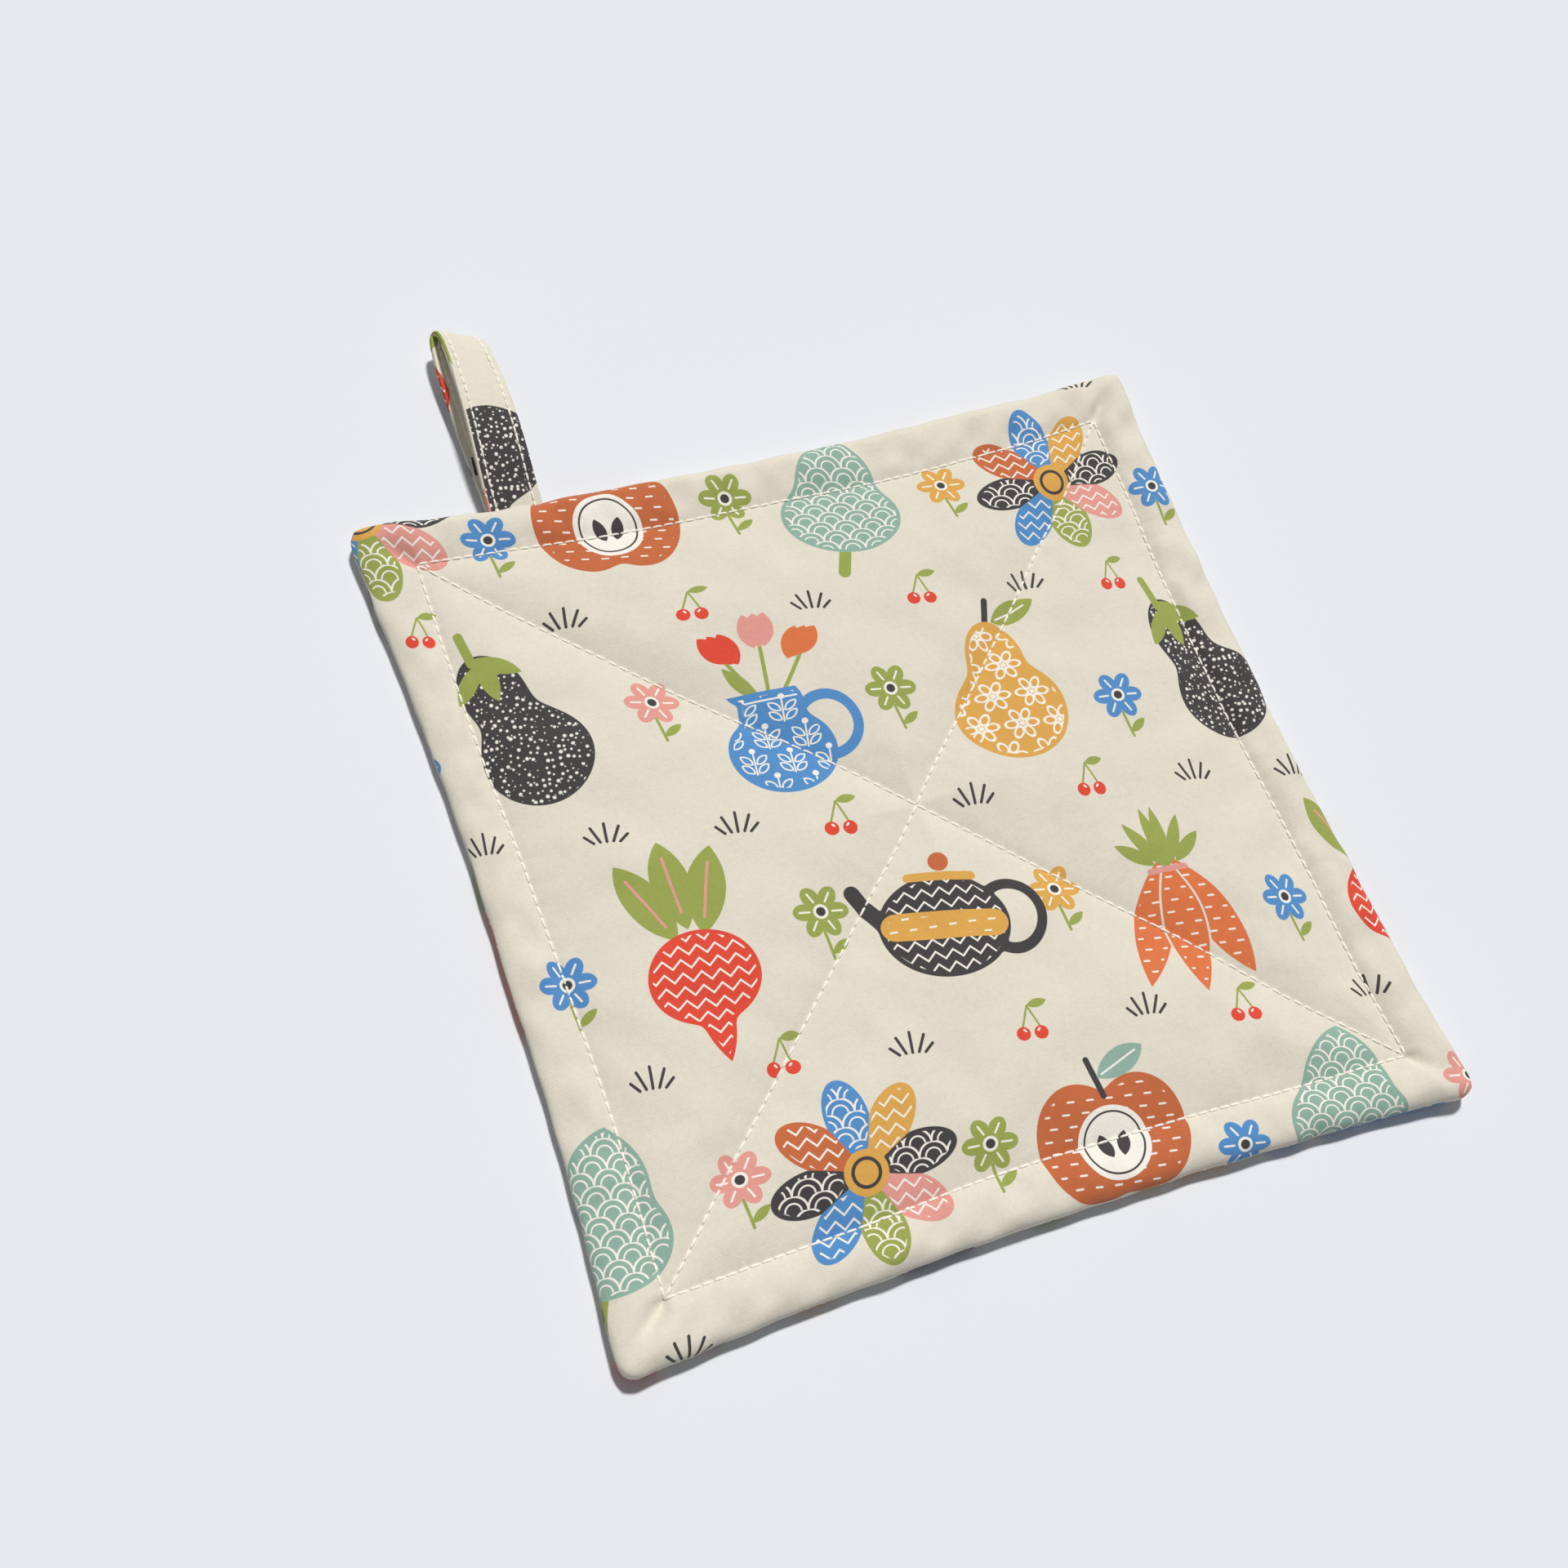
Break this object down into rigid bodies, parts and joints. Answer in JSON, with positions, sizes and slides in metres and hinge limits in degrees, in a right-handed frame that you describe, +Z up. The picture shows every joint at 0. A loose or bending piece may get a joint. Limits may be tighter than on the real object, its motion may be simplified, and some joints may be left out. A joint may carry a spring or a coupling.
{
  "type": "quilted pot holder",
  "caption": "Square quilted pot holder with a stitched border, stitched diagonals and a folded strap loop near one corner, lying flat.",
  "frame": {"origin": "on the surface that the pot holder lies on, under the middle of its outside, loop included", "axes": "+Z up from the surface, +Y towards the side with the loop, +X along that side, away from the loop's corner"},
  "size_m": [0.222, 0.2754, 0.0133],
  "materials": {
    "printed_cotton": "matt plain-woven cotton, printed in scattered motifs on cream",
    "printed_strap": "the same printed cotton, folded into a strap and stitched along both edges",
    "stitching_thread": "cream sewing thread"
  },
  "bodies": {
    "root": {"quilted_pad": "printed_cotton", "hanging_loop": "printed_strap"}
  },
  "joints": []
}
